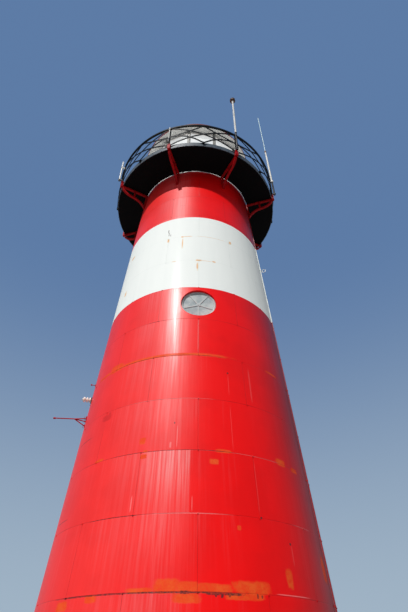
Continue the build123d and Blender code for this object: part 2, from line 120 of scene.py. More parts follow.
def outward(azimuth):
    """Unit vector that points away from the axis at an azimuth."""
    turn = math.radians(azimuth)
    return Vector((math.sin(turn), -math.cos(turn), 0))


def at(azimuth, radius, level):
    """Point at an azimuth, radius and level."""
    return outward(azimuth) * radius + Vector((0, 0, level))


def around(count, first=0.0):
    """Azimuths of a number of copies spread evenly round the axis."""
    return [first + 360.0 / count * turn for turn in range(count)]


def spread(count, width):
    """Shifts of a number of copies spread evenly over a width, about its middle."""
    return [width * (step / (count - 1) - 0.5) for step in range(count)]


def corners(width, height):
    """Four bolt places at the corners of a plate."""
    return [(x, y) for x in spread(2, width) for y in spread(2, height)]


def polar(radius, angle):
    """Place on a circle in a unit's own plane, at an angle in degrees."""
    turn = math.radians(angle)
    return radius * math.cos(turn), radius * math.sin(turn)


class Graph:
    """A node tree, with short calls that add a node and give its output."""

    def node(self, kind, inputs, **settings):
        made = self.tree.nodes.new(kind)
        for key, value in settings.items():
            setattr(made, key, value)
        for key, value in inputs.items():
            self.put(made.inputs[key], value)
        return made

    def put(self, socket, value):
        if isinstance(value, bpy.types.NodeSocket):
            self.tree.links.new(value, socket)
        elif value is not None:
            socket.default_value = value

    def math(self, operation, first, second=None, third=None):
        inputs = {0: first, 1: second, 2: third}
        return self.node("ShaderNodeMath", inputs, operation=operation).outputs[0]

    def times(self, first, *others):
        """Product of values."""
        for other in others:
            first = self.math("MULTIPLY", first, other)
        return first

    def scaled(self, value, factor, shift):
        """A value times a factor, plus a shift."""
        return self.math("MULTIPLY_ADD", value, factor, shift)

    def combine(self, x, y, z):
        return self.node("ShaderNodeCombineXYZ", {0: x, 1: y, 2: z}).outputs[0]


class Finish(Graph):
    """One procedural material."""

    def __init__(self, name):
        self.material = bpy.data.materials.new(name)
        self.material.use_nodes = True
        self.tree = self.material.node_tree
        self.shader = self.tree.nodes["Principled BSDF"]
        self.place = self.tree.nodes.new("ShaderNodeTexCoord").outputs["Object"]

    def vector(self, operation, first, second=None, third=None):
        inputs = {0: first, 1: second, 2: third}
        made = self.node("ShaderNodeVectorMath", inputs, operation=operation)
        number = operation in ("LENGTH", "DOT_PRODUCT")
        return made.outputs["Value" if number else "Vector"]

    def split(self, vector):
        return self.node("ShaderNodeSeparateXYZ", {0: vector}).outputs

    def noise(self, scale, detail=3.0, roughness=0.55, place=None):
        """Cloudy noise from 0 to 1, on the object's own coordinates unless a place is given."""
        where = self.place if place is None else place
        inputs = {"Vector": where, "Scale": scale, "Detail": detail, "Roughness": roughness}
        return self.node("ShaderNodeTexNoise", inputs).outputs["Fac"]

    def fade(self, value, start, end, at_start=0.0, at_end=1.0):
        """Smooth step of a value between two limits."""
        inputs = {0: value, 1: start, 2: end, 3: at_start, 4: at_end}
        return self.node("ShaderNodeMapRange", inputs, interpolation_type="SMOOTHSTEP").outputs[0]

    def mix(self, amount, colour, other):
        """Blend of two colours."""
        made = self.node("ShaderNodeMix", {}, data_type="RGBA")
        self.put(made.inputs[0], amount)
        self.put(made.inputs[6], colour)
        self.put(made.inputs[7], other)
        return made.outputs[2]

    def coats(self, colour, *layers):
        """A colour under layers of (amount, colour), the last one on top."""
        for amount, layer in layers:
            colour = self.mix(amount, colour, layer)
        return colour

    def bump(self, height, strength, distance):
        inputs = {"Height": height, "Strength": strength, "Distance": distance}
        return self.node("ShaderNodeBump", inputs).outputs[0]

    def surface(self, colour, roughness, normal=None, **sockets):
        self.put(self.shader.inputs["Base Color"], colour)
        self.put(self.shader.inputs["Roughness"], roughness)
        self.put(self.shader.inputs["Normal"], normal)
        for name, value in sockets.items():
            self.put(self.shader.inputs[name.replace("_", " ")], value)
        return self.material


# Colours of the shell, linear
red = (0.93, 0.0015, 0.002, 1)
# Paler red: partly sun-faded paint, partly painted light on the side towards the key light. Deeper red
# on the side away from it: painted shade
pale_red = (0.92, 0.03, 0.028, 1)
painted_shade_red = (0.25, 0.0005, 0.001, 1)
deep_red = (0.3, 0.001, 0.002, 1)
# Pale pinks: chalky paint, and painted sheen and painted highlights of the glare
chalk_and_sheen = (0.92, 0.16, 0.17, 1)
pale_chalk_and_highlight = (0.95, 0.42, 0.42, 1)
white = (0.87, 0.915, 0.905, 1)
dull_white = (0.66, 0.72, 0.72, 1)
primer = (0.82, 0.055, 0.006, 1)
pale_primer = (0.82, 0.095, 0.012, 1)
pale_rust = (0.8, 0.42, 0.13, 1)
soot = (0.05, 0.02, 0.02, 1)

# Azimuths of the shell's paler side (sun-faded paint and painted light), of its painted sheen, and of
# its painted shade
pale_side = -55.0
painted_sheen_side = -19.0
painted_shade_side = 100.0

# Wear and painted seam highlights on the shell: azimuth and level of the middle, half width in
# degrees, half height
primer_patches = [
    (-14, 5.985, 33, 0.034), (-42.5, 6.01, 5, 0.085), (-52.5, 5.98, 6, 0.03),
    (46, 5.985, 5, 0.022), (-19.6, 4.35, 1.3, 0.055), (-18, 4.18, 1, 0.02),
    (-18.5, 4.1, 1.4, 0.035), (-40.5, 4.185, 2.8, 0.024), (9, 4, 1.9, 0.045),
    (13, 4.175, 3.2, 0.03), (40.2, 4.19, 3, 0.06), (49.5, 4.15, 2.4, 0.04),
    (17, 3.11, 0.7, 0.03), (34.8, 2.56, 1.5, 0.125), (-43.5, 2.275, 3, 0.06),
    (-31, 2.325, 2.3, 0.045), (-14.8, 2.385, 4.2, 0.03), (-6.5, 2.43, 4, 0.08),
    (-0.5, 2.415, 3.8, 0.06), (7.5, 2.405, 6.2, 0.055), (19.8, 2.43, 6.6, 0.075),
    (21, 2.34, 3, 0.045), (15, 2.33, 4.4, 0.04), (-0.5, 2.3, 4, 0.055),
    (60, 2.8, 2, 0.18),
]
dark_lines = [
    (10.2, 2.335, 0.5, 0.03), (12.4, 2.338, 0.4, 0.022), (8.3, 2.335, 0.3, 0.02),
    (21.5, 2.345, 0.3, 0.026), (23, 2.34, 0.3, 0.02), (-15, 5.968, 31, 0.006),
    (-17, 2.362, 32, 0.01), (11, 2.352, 6, 0.018), (-1, 2.362, 1.6, 0.018),
    (-19, 4.165, 17, 0.005), (6, 4.168, 12, 0.005), (-29, 3.262, 12, 0.005),
    (-16, 6.87, 10, 0.004), (-58, 4.7, 8, 0.005), (-60, 3.42, 6, 0.005),
]
# Painted highlights along seam edges
painted_seam_highlights = [
    (0, 3.266, 15, 0.007), (47, 3.268, 7, 0.005), (-10, 5.068, 22, 0.005),
    (24, 4.166, 22, 0.004), (36, 2.38, 8, 0.007),
]
drips = [
    (-5.5, 4.4, 0.22, 0.2), (-8, 4.25, 0.45, 0.055), (2.5, 6.45, 0.17, 0.43),
    (16.9, 5.4, 0.2, 0.22), (16.9, 4.6, 0.17, 0.42), (28.5, 5.5, 0.5, 0.38),
    (25.6, 3.72, 0.17, 0.44), (-21, 3.42, 0.28, 0.12), (0.8, 3.39, 0.16, 0.11),
    (38.2, 2.85, 0.3, 0.14),
]
plugs = [
    (16.9, 5.64, 0.4, 0.018), (37.8, 2.995, 0.4, 0.018), (-6.8, 4.62, 0.25, 0.016),
    (26, 3.272, 0.35, 0.016),
]
grime = [
    (-42, 4.96, 3.4, 0.06), (-40, 5.01, 0.8, 0.05), (-12, 10.96, 1.6, 0.03),
    (-9.5, 10.945, 0.8, 0.02),
]
white_rust = [
    (-20, 9.5, 0.9, 0.075), (-9.4, 9.56, 1.1, 0.034), (-5.5, 9.565, 3.6, 0.014),
    (-9, 9.3, 0.5, 0.2), (27, 9.58, 1, 0.06), (2.8, 8.66, 2.2, 0.03),
    (13, 8.67, 1.3, 0.026), (1.8, 8.45, 0.6, 0.16), (-57, 9.64, 3, 0.05),
    (-54, 8.3, 1.2, 0.1), (-14, 8.66, 1.6, 0.01), (12, 9.572, 12, 0.005),
    (8, 8.662, 5, 0.007),
]
scratches = [
    (-20.6, 9.88, 0.32, 0.08), (-20, 9.76, 0.3, 0.08), (-18.6, 9.7, 0.22, 0.05),
]


def shell_paint():
    """Gloss paint of the shell: red with one white band, seams, joints and wear, and painted sheen,
    highlights and shade.
    """
    finish = Finish("shell_paint")
    vector, noise, calc = finish.vector, finish.noise, finish.math
    fade, mix, times, scaled = finish.fade, finish.mix, finish.times, finish.scaled
    x, y, z = finish.split(finish.place)
    azimuth = calc("DEGREES", calc("ARCTAN2", x, times(y, -1.0)))
    drum = finish.combine(azimuth, z, 0.0)
    radius = scaled(z, -wall_slope, foot_radius)
    flat = vector("MULTIPLY", finish.place, (1, 1, 0))
    unit = vector("NORMALIZE", flat)
    low_wall = fade(z, 6.2, 5.6)

    def streaks(round_scale, level_scale, detail, roughness):
        """Noise that is fine round the drum and long in height."""
        level = finish.combine(0.0, 0.0, times(z, level_scale))
        place = vector("MULTIPLY_ADD", unit, (round_scale, round_scale, 0), level)
        return noise(1.0, detail, roughness, place)

    def patches(spots, frayed, start, end):
        """1 in the middle of each spot, and 0 past its frayed edge."""
        nearest = None
        for middle, level, half_width, half_height in spots:
            scale = (1 / half_width, 1 / half_height, 0)
            shift = (-middle / half_width, -level / half_height, 0)
            offset = vector("MULTIPLY_ADD", drum, scale, shift)
            away = vector("LENGTH", vector("MULTIPLY", offset, offset))
            nearest = away if nearest is None else calc("MINIMUM", nearest, away)
        return fade(calc("ADD", nearest, frayed), start, end, 1.0, 0.0)

    def side(middle, start, end):
        """1 on the side that faces an azimuth, with a cloudy edge."""
        toward = vector("DOT_PRODUCT", unit, tuple(outward(middle)))
        return fade(calc("ADD", toward, scaled(cloud, 0.3, -0.15)), start, end)

    fine = streaks(60, 0.7, detail=4.0, roughness=0.65)
    broad = streaks(9, 0.5, detail=2.0, roughness=0.5)
    mottle = noise(scale=1.3, detail=4.0)
    cloud = noise(scale=0.45, roughness=0.5)
    grain = noise(scale=38.0, roughness=0.6)
    fray = noise(scale=7.0, detail=6.0, roughness=0.72)
    ragged = scaled(fray, 2.4, -1.2)
    soft_ragged = times(ragged, 0.4)
    wobble = scaled(noise(scale=5.0), 0.008, -0.004)

    # Seams between courses, joints between plates, and the drop below the seam above
    above_first = calc("SUBTRACT", z, first_seam)
    seam_distance = calc("PINGPONG", above_first, course_height / 2)
    course = calc("FLOOR", calc("DIVIDE", above_first, course_height))
    even = calc("SUBTRACT", 1.0, calc("FLOORED_MODULO", course, 2.0))
    turned = scaled(even, joint_step / 2, calc("SUBTRACT", azimuth, even_joint))
    joint_angle = calc("PINGPONG", turned, joint_step / 2)
    joint_distance = times(calc("RADIANS", joint_angle), radius)
    seam_line = fade(calc("ADD", seam_distance, wobble), 0.0015, 0.006, 1.0, 0.0)
    joint_line = fade(calc("ADD", joint_distance, wobble), 0.001, 0.005, 1.0, 0.0)
    hang = calc("FLOORED_MODULO", times(above_first, -1.0), course_height)

    # Pale streaks that hang from the seams, mostly low on the wall: chalky paint, with painted sheen
    # where they are stronger on the glare's side
    hanging_chalk_and_sheen = times(
        fade(fine, 0.48, 0.68),
        fade(broad, 0.38, 0.6),
        fade(hang, 0.02, course_height * 0.95, 1.0, 0.2),
        scaled(low_wall, 0.9, 0.1),
        fade(azimuth, 5.0, 25.0, 1.0, 0.15),
        0.16,
    )

    # Broad painted sheen of the glare on one side, weaker high on the wall and low on each course
    painted_sheen = times(
        fade(calc("ABSOLUTE", calc("SUBTRACT", azimuth, painted_sheen_side)), 5.0, 21.0, 1.0, 0.0),
        scaled(fade(fine, 0.35, 0.65), 0.65, 0.35),
        fade(hang, 0.0, course_height, 1.0, 0.45),
        fade(z, 7.4, 2.2, 1.0, 0.5),
        0.56,
    )

    # Painted glare in pale pink streaks. On one course it is stronger and ends sharply on its right
    # side
    course_low = first_seam + 3 * course_height
    course_high = course_low + course_height
    glare_course = times(
        fade(z, course_low, course_low + 0.004), fade(z, course_high, course_high - 0.004)
    )
    sharp_end = fade(azimuth, -0.6, 0.3, 1.0, 0.0)
    soft_end = fade(azimuth, -9.0, 8.0, 1.0, 0.0)
    painted_glare_streaks = times(
        scaled(glare_course, calc("SUBTRACT", sharp_end, soft_end), soft_end),
        fade(azimuth, -25.0, -8.0),
        fade(fine, 0.36, 0.66, 0.2, 1.0),
        fade(hang, 0.0, course_height, 1.0, 0.25),
        scaled(glare_course, 0.42, 0.13),
        fade(z, 8.0, 6.0),
    )

    primed = patches(primer_patches, ragged, 0.45, 1.25)
    undercoat = mix(fade(fray, 0.4, 0.62), primer, pale_primer)
    drip = patches(drips, soft_ragged, 0.3, 1.1)
    dark = patches(dark_lines, ragged, 0.5, 1.1)
    red_coat = finish.coats(
        red,
        # Paler red on the side towards the key light: sun-faded paint and painted light
        (side(pale_side, 0.62, 0.95), pale_red),
        # Deeper red on the side away from the key light: painted shade
        (side(painted_shade_side, 0.33, 0.93), painted_shade_red),
        (fade(mottle, 0.6, 0.35, 0.0, 0.12), deep_red),
        # Chalky streaks, with painted sheen on the glare's side
        (hanging_chalk_and_sheen, chalk_and_sheen),
        # Painted sheen of the glare, pale pink
        (painted_sheen, chalk_and_sheen),
        # Painted glare in streaks, pale pink
        (painted_glare_streaks, pale_chalk_and_highlight),
        (times(drip, fade(azimuth, 4.0, 14.0, 0.3, 0.09)), pale_chalk_and_highlight),
        # Painted highlights along seam edges, pale pink
        (times(patches(painted_seam_highlights, soft_ragged, 0.3, 1.1), 0.4), pale_chalk_and_highlight),
        (times(primed, fade(grain, 0.28, 0.55, 0.6, 1.0)), undercoat),
        (times(dark, fade(grain, 0.3, 0.6, 0.4, 0.9)), soot),
        (times(patches(grime, ragged, 0.2, 1.2), 0.3), deep_red),
        (patches(plugs, 0.0, 0.4, 1.1), soot),
        (times(seam_line, fade(mottle, 0.3, 0.7, 0.15, 0.6)), deep_red),
        (times(joint_line, fade(mottle, 0.3, 0.7, 0.2, 0.6)), deep_red),
        # Darker red towards the top of the crown: painted shade under the gallery
        (fade(z, tower_top - 0.5, tower_top - 0.1, 0.0, 0.25), deep_red),
    )
    white_coat = finish.coats(
        white,
        (fade(broad, 0.6, 0.3, 0.0, 0.1), dull_white),
        (times(patches(white_rust, ragged, 0.1, 1.2), 0.8), pale_rust),
        (times(patches(scratches, soft_ragged, 0.5, 1.1), 0.85), soot),
        (times(seam_line, 0.3), dull_white),
        (times(joint_line, 0.2), dull_white),
    )
    over_bottom = fade(z, band_bottom - 0.001, band_bottom + 0.001)
    under_top = fade(calc("ADD", z, wobble), band_top + 0.004, band_top - 0.004)
    in_band = times(over_bottom, under_top)

    # Dull, with polished streaks that are fewer low on the wall. The inner face is bare
    dull = scaled(in_band, 0.34, scaled(low_wall, 0.02, 0.43))
    rough = scaled(fade(scaled(low_wall, -0.1, fine), 0.36, 0.68), -0.1, dull)
    rough = calc("ADD", rough, times(primed, 0.3))
    inside = fade(vector("LENGTH", flat), calc("SUBTRACT", radius, 0.004), radius, 1.0, 0.0)
    rough = calc("MAXIMUM", rough, times(inside, 0.85))
    height = scaled(mottle, 0.9, times(calc("MAXIMUM", seam_line, joint_line), -1.0))
    height = scaled(primed, -0.15, scaled(grain, 0.05, height))
    normal = finish.bump(height, strength=0.35, distance=0.006)
    gloss = {"Specular_IOR_Level": 0.2, "Coat_Weight": 0.07, "Coat_Roughness": 0.2}
    return finish.surface(mix(in_band, red_coat, white_coat), rough, normal, **gloss)


def cloudy(name, scale, colour, other, start=0.3, end=0.7, most=1.0, detail=4.0):
    """A finish, its cloudy noise, and two colours blended by that noise."""
    finish = Finish(name)
    cloud = finish.noise(scale, detail, 0.6)
    return finish, cloud, finish.mix(finish.fade(cloud, start, end, 0.0, most), colour, other)


def plain_paint(name, colour, worn, roughness, scale=9.0, shine=0.3):
    """Brushed paint of one colour with worn places, uneven gloss and a fine orange peel."""
    finish, mottle, tone = cloudy(name, scale, colour, worn, 0.45, 0.75, most=0.35, detail=5.0)
    gloss = finish.fade(mottle, 0.3, 0.7, roughness - 0.08, roughness + 0.1)
    peel = finish.noise(scale=60.0, detail=2.0)
    normal = finish.bump(finish.scaled(peel, 0.3, mottle), strength=0.2, distance=0.002)
    return finish.surface(tone, gloss, normal, Specular_IOR_Level=shine)


def banded_paint(name, bands, roughness, scale=14.0, worn=(0.3, 0.27, 0.24, 1), shine=0.5):
    """Paint that changes colour at given levels: a list of (level it starts at, colour)."""
    finish = Finish(name)
    z = finish.split(finish.place)[2]
    tone = bands[0][1]
    for level, colour in bands[1:]:
        tone = finish.mix(finish.fade(z, level - 0.001, level + 0.001), tone, colour)
    mottle = finish.noise(scale, detail=4.0, roughness=0.6)
    tone = finish.mix(finish.fade(mottle, 0.5, 0.8, 0.0, 0.4), tone, worn)
    gloss = finish.fade(mottle, 0.3, 0.7, roughness - 0.05, roughness + 0.1)
    normal = finish.bump(mottle, strength=0.15, distance=0.001)
    return finish.surface(tone, gloss, normal, Specular_IOR_Level=shine)


def deck_paint():
    """Black paint under the gallery and a worn pale grey walkway on top of it."""
    walk, worn_walk = (0.82, 0.83, 0.82, 1), (0.64, 0.62, 0.59, 1)
    black, brown = (0.0015, 0.001, 0.0012, 1), (0.01, 0.003, 0.003, 1)
    finish = Finish("deck_paint")
    z = finish.split(finish.place)[2]
    scuff = finish.noise(scale=6.0, detail=5.0, roughness=0.65)
    grit = finish.noise(scale=80.0, roughness=0.6)
    top = finish.mix(finish.fade(scuff, 0.35, 0.7), walk, worn_walk)
    below = finish.mix(finish.fade(scuff, 0.55, 0.8), black, brown)
    tone = finish.mix(finish.fade(z, deck_top - 0.004, deck_top - 0.001), below, top)
    normal = finish.bump(grit, strength=0.3, distance=0.001)
    return finish.surface(tone, 0.75, normal, Specular_IOR_Level=0.06)


def frosted_pane():
    """Frosted wired glass with pale specks."""
    dark, pale, speckled = (0.33, 0.38, 0.4, 1), (0.5, 0.54, 0.53, 1), (0.72, 0.75, 0.76, 1)
    finish, cloud, tone = cloudy("frosted_pane", 7.0, dark, pale)
    speck = finish.noise(scale=55.0, roughness=0.7)
    tone = finish.mix(finish.fade(speck, 0.55, 0.75, 0.0, 0.6), tone, speckled)
    gloss = finish.fade(cloud, 0.3, 0.7, 0.3, 0.5)
    normal = finish.bump(finish.math("ADD", cloud, speck), strength=0.4, distance=0.003)
    return finish.surface(tone, gloss, normal, Specular_IOR_Level=0.6)


def lantern_glass():
    """Lantern pane with a white screen close behind it, browner towards its top. The screen glows with
    painted light, for daylight that comes through from the lantern's far side.
    """
    dull_screen, bright_screen = (0.8, 0.83, 0.84, 1), (0.9, 0.91, 0.9, 1)
    brown, dark_glass = (0.3, 0.22, 0.17, 1), (0.05, 0.06, 0.06, 1)
    finish, cloud, screen = cloudy("lantern_glass", 3.0, dull_screen, bright_screen)
    z = finish.split(finish.place)[2]
    glow = finish.mix(finish.fade(z, pane_top - 0.16, pane_top, 0.0, 0.6), screen, brown)
    tone = finish.mix(0.58, glow, dark_glass)
    gloss = finish.fade(cloud, 0.3, 0.7, 0.16, 0.28)
    normal = finish.bump(cloud, strength=0.05, distance=0.002)
    light = {"Emission_Color": glow, "Emission_Strength": 0.63}
    return finish.surface(tone, gloss, normal, Coat_Weight=0.3, Coat_Roughness=0.14, **light)


def concrete():
    """Bare concrete slab."""
    dark, pale, grit_grey = (0.3, 0.29, 0.27, 1), (0.46, 0.45, 0.42, 1), (0.2, 0.19, 0.18, 1)
    finish, _, tone = cloudy("bare_concrete", 2.5, dark, pale, detail=6.0)
    grit = finish.noise(scale=90.0, roughness=0.7)
    tone = finish.mix(finish.fade(grit, 0.55, 0.8, 0.0, 0.5), tone, grit_grey)
    return finish.surface(tone, 0.9, finish.bump(grit, strength=0.4, distance=0.003))


def tread_iron():
    """Dark floor plate with small raised studs."""
    iron, rusty = (0.06, 0.06, 0.065, 1), (0.14, 0.09, 0.06, 1)
    finish, _, tone = cloudy("tread_iron", 4.0, iron, rusty, start=0.4, detail=5.0)
    inputs = {"Vector": finish.place, "Scale": 22.0}
    studs = finish.node("ShaderNodeTexVoronoi", inputs).outputs["Distance"]
    height = finish.fade(studs, 0.15, 0.35, 1.0, 0.0)
    normal = finish.bump(height, strength=0.6, distance=0.004)
    return finish.surface(tone, 0.6, normal, Metallic=0.6)


def brass():
    """Worn brass, darker in patches."""
    bright, tarnished = (0.62, 0.42, 0.16, 1), (0.3, 0.19, 0.08, 1)
    finish, cloud, tone = cloudy("worn_brass", 40.0, bright, tarnished, start=0.35)
    return finish.surface(tone, finish.fade(cloud, 0.3, 0.7, 0.25, 0.5), Metallic=1.0)


def glazed_ceramic():
    """White glaze with fine crazing."""
    glaze, stained = (0.92, 0.9, 0.84, 1), (0.74, 0.64, 0.5, 1)
    finish, cloud, tone = cloudy("white_glaze", 30.0, glaze, stained, start=0.4)
    normal = finish.bump(cloud, strength=0.1, distance=0.001)
    return finish.surface(tone, 0.15, normal, Coat_Weight=0.5)


shell = shell_paint()
# Red of the fittings, darker than the shell's red: painted shade, as the brackets stand in shade under
# the gallery
fitting_red = plain_paint(
    "fitting_red", (0.4, 0.003, 0.006, 1), (0.22, 0.006, 0.008, 1), 0.45, shine=0.1
)
door_red = plain_paint("door_red", red, pale_red, 0.35, scale=3.0)
rail_black = plain_paint(
    "rail_black", (0.002, 0.0025, 0.003, 1), (0.01, 0.009, 0.009, 1), 0.5, shine=0.1
)
rim_grey = plain_paint("rim_grey", (0.065, 0.085, 0.105, 1), (0.15, 0.17, 0.19, 1), 0.5)
# Grey of the mullions, their covers and the pane beads, darker than the lantern's white: painted shade
# of their shaded faces
mullion_grey = plain_paint(
    "mullion_grey", (0.3, 0.3, 0.28, 1), (0.18, 0.15, 0.12, 1), 0.5, scale=12.0
)
frame_white = plain_paint("frame_white", (0.82, 0.85, 0.85, 1), (0.6, 0.58, 0.52, 1), 0.35)
lantern_white = plain_paint(
    "lantern_white", (0.86, 0.86, 0.84, 1), (0.62, 0.58, 0.5, 1), 0.4, scale=4.0
)
soffit_cream = plain_paint(
    "soffit_cream", (0.95, 0.94, 0.9, 1), (0.8, 0.72, 0.62, 1), 0.5, scale=2.0
)
window_grey = plain_paint(
    "window_grey", (0.5, 0.53, 0.54, 1), (0.4, 0.39, 0.38, 1), 0.5, scale=20.0
)
pole_grey = plain_paint("pole_grey", (0.4, 0.42, 0.43, 1), (0.25, 0.23, 0.21, 1), 0.4, scale=20.0)
knob_brass = brass()

pole_black = (0.006, 0.006, 0.007, 1)
roof_paint = banded_paint("roof_paint", [
    (0, (0.22, 0.035, 0.028, 1)),
    (eave_top, (0.8, 0.004, 0.005, 1)),
], 0.5, scale=6.0, worn=(0.55, 0.01, 0.01, 1), shine=0.2)
mast_paint = banded_paint("mast_paint", [
    (0, pole_black),
    (mast_joint, (0.62, 0.62, 0.6, 1)),
    (lamp_foot - 0.002, (0.1, 0.055, 0.035, 1)),
], 0.45, shine=0.25)
whip_paint = banded_paint("whip_paint", [
    (0, pole_black),
    (whip_foot + 0.72, (0.74, 0.74, 0.7, 1)),
    (whip_foot + 2.56, (0.2, 0.12, 0.08, 1)),
    (whip_foot + 2.65, (0.6, 0.8, 0.84, 1)),
], 0.5, worn=(0.1, 0.09, 0.08, 1), shine=0.2)
tube_paint = banded_paint("tube_paint", [
    (0, (0.03, 0.03, 0.03, 1)),
    (tube_foot + 0.071, (0.7, 0.71, 0.7, 1)),
], 0.4)
short_pole_paint = banded_paint("short_pole_paint", [
    (0, pole_black),
    (short_pole_foot + socket_height, (0.55, 0.55, 0.52, 1)),
], 0.4)


def set_finish(mesh, material):
    """Give a mesh one material."""
    mesh.materials.clear()
    mesh.materials.append(material)


finishes = [
    (shell, "base_tier", "lower_tier", "middle_tier", "window_tier"),
    (shell, "white_tier", "crown_tier", "lightning_conductor"),
    (fitting_red, "gallery_brackets", "bracket_tips", "wall_hook", "outrigger"),
    (door_red, "entrance_door", "roof_ventilator"),
    (rail_black, "railing_posts", "railing_lattice", "handrail", "insulator_bracket"),
    (rim_grey, "gallery_rim"),
    (deck_paint(), "gallery_deck"),
    (frame_white, "entrance_frame", "eye_ring"),
    (lantern_white, "lantern_floor", "lantern_wall", "lantern_sill", "lantern_head"),
    (lantern_white, "lantern_door"),
    (mullion_grey, "lantern_mullions"),
    (lantern_glass(), "lantern_glazing"),
    (soffit_cream, "lantern_ceiling"),
    (roof_paint, "lantern_roof"),
    (frosted_pane(), "porthole_panes"),
    (knob_brass, "entrance_knob"),
    (concrete(), "ground_floor"),
    (tread_iron(), "upper_floor"),
    (mast_paint, "mast"),
    (whip_paint, "whip_aerial"),
    (tube_paint, "tube_aerial"),
    (pole_grey, "short_pole"),
    (glazed_ceramic(), "insulators"),
]
for material, *node_names in finishes:
    for node_name in node_names:
        set_finish(nodes[node_name].data, material)


# What small pieces are finished with: material and slot
red_plates = (shell, "red_paint")
white_plates = (shell, "white_paint")
red_iron = (fitting_red, "red_paint")
red_sheet = (door_red, "red_paint")
black_iron = (rail_black, "black_paint")
rim_iron = (rim_grey, "grey_paint")
grey_iron = (pole_grey, "grey_paint")
mast_iron = (mast_paint, "grey_paint")
mullion_strips = (mullion_grey, "lantern_white")
white_sheet = (lantern_white, "lantern_white")
window_iron = (window_grey, "white_paint")


def add_object(name, data):
    """Object with given data, linked to the scene."""
    made = bpy.data.objects.new(name, data)
    bpy.context.scene.collection.objects.link(made)
    return made


def add_piece(name, mesh, material, slot):
    """Link a finished mesh as a piece that rides on the tower."""
    set_finish(mesh, material)
    piece = add_object(name, mesh)
    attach(piece, "root")
    return piece


class Plan(Graph):
    """Geometry Nodes tree that sets one unit on every place. The unit lies in its own frame:
    X to the right as seen from outside, Y up, and Z out from the surface that it sits on.
    In any call, the name of one of the tree's sizes stands for that input."""

    def __init__(self, name, **sizes):
        self.name = name
        self.labels = list(sizes)
        self.tree = bpy.data.node_groups.new(name, "GeometryNodeTree")
        face = self.tree.interface
        face.new_socket("Places", in_out="INPUT", socket_type="NodeSocketGeometry")
        self.settings = {}
        for label, size in sizes.items():
            kind = "NodeSocketInt" if isinstance(size, int) else "NodeSocketFloat"
            key = face.new_socket(label, in_out="INPUT", socket_type=kind).identifier
            self.settings[key] = size
        finish = face.new_socket("finish", in_out="INPUT", socket_type="NodeSocketMaterial")
        self.finish_key = finish.identifier
        face.new_socket("Pieces", in_out="OUTPUT", socket_type="NodeSocketGeometry")
        self.start = self.node("NodeGroupInput", {}).outputs
        self.bodies = []

    def put(self, socket, value):
        super().put(socket, self.start[value] if value in self.labels else value)

    def add(self, body, place, turn):
        """Put a body into the unit, moved to a place and turned by degrees."""
        spin = tuple(math.radians(angle) for angle in turn)
        inputs = {"Geometry": body, "Translation": self.combine(*place), "Rotation": spin}
        self.bodies.append(self.node("GeometryNodeTransform", inputs).outputs[0])

    def block(self, width, height, depth, place=(0, 0, 0), turn=(0, 0, 0)):
        """Add a block, with its middle on a place."""
        size = self.combine(width, height, depth)
        self.add(self.node("GeometryNodeMeshCube", {"Size": size}).outputs["Mesh"], place, turn)

    def disc(self, sides, radius, depth, top=None, place=(0, 0, 0), turn=(0, 0, 0)):
        """Add a disc that stands on a place, or a frustum if its top has a radius of its own."""
        inputs = {"Vertices": sides, "Radius Bottom": radius, "Depth": depth}
        inputs["Radius Top"] = radius if top is None else top
        self.add(self.node("GeometryNodeMeshCone", inputs).outputs["Mesh"], place, turn)

    def hoop(self, sides, radius, width, depth, place=(0, 0, 0)):
        """Add a flat ring of rectangular section, with its middle on a place."""
        inputs = {"Resolution": sides, "Radius": radius}
        circle = self.node("GeometryNodeCurvePrimitiveCircle", inputs)
        inputs = {"Width": width, "Height": depth}
        section = self.node("GeometryNodeCurvePrimitiveQuadrilateral", inputs)
        inputs = {"Curve": circle.outputs[0], "Profile Curve": section.outputs[0]}
        self.add(self.node("GeometryNodeCurveToMesh", inputs).outputs[0], place, (0, 0, 0))

    def axis(self, name):
        """Direction kept on each place."""
        kind = "GeometryNodeInputNamedAttribute"
        return self.node(kind, {"Name": name}, data_type="FLOAT_VECTOR").outputs["Attribute"]

    def make(self, places, material, slot):
        """Set the unit on places, a list of (point, outward, up), and make the result a piece."""
        unit = self.node("GeometryNodeJoinGeometry", {})
        for body in self.bodies:
            self.put(unit.inputs[0], body)
        axes = {"Primary Axis": self.axis("outward"), "Secondary Axis": self.axis("upward")}
        turn = self.node("FunctionNodeAxesToRotation", axes, primary_axis="Z", secondary_axis="Y")
        inputs = {"Instance": unit.outputs[0], "Rotation": turn.outputs[0]}
        inputs["Points"] = self.start["Places"]
        copies = self.node("GeometryNodeInstanceOnPoints", inputs)
        solid = self.node("GeometryNodeRealizeInstances", {"Geometry": copies.outputs[0]})
        inputs = {"Geometry": solid.outputs[0], "Material": self.start["finish"]}
        painted = self.node("GeometryNodeSetMaterial", inputs)
        self.node("NodeGroupOutput", {0: painted.outputs[0]})

        mesh = bpy.data.meshes.new(self.name + "_places")
        mesh.from_pydata([tuple(place[0]) for place in places], [], [])
        for column, label in enumerate(("outward", "upward"), 1):
            attribute = mesh.attributes.new(label, "FLOAT_VECTOR", "POINT")
            for index, place in enumerate(places):
                attribute.data[index].vector = place[column]
        carrier = add_object(self.name + "_places", mesh)
        modifier = carrier.modifiers.new(self.name, "NODES")
        modifier.node_group = self.tree
        for key, value in self.settings.items():
            modifier[key] = value
        modifier[self.finish_key] = material
        graph = bpy.context.evaluated_depsgraph_get()
        result = bpy.data.meshes.new_from_object(carrier.evaluated_get(graph))
        bpy.data.objects.remove(carrier)
        result.name = self.name
        return add_piece(self.name, result, material, slot)


upright = Vector((0, 0, 1))


def sideways(azimuth):
    """Unit vector to the right at an azimuth, as seen from outside."""
    return upright.cross(outward(azimuth))


def facing(azimuth, radius, level, shift=0.0):
    """Place on an upright face, moved to the right by a shift."""
    return at(azimuth, radius, level) + sideways(azimuth) * shift, outward(azimuth), upright


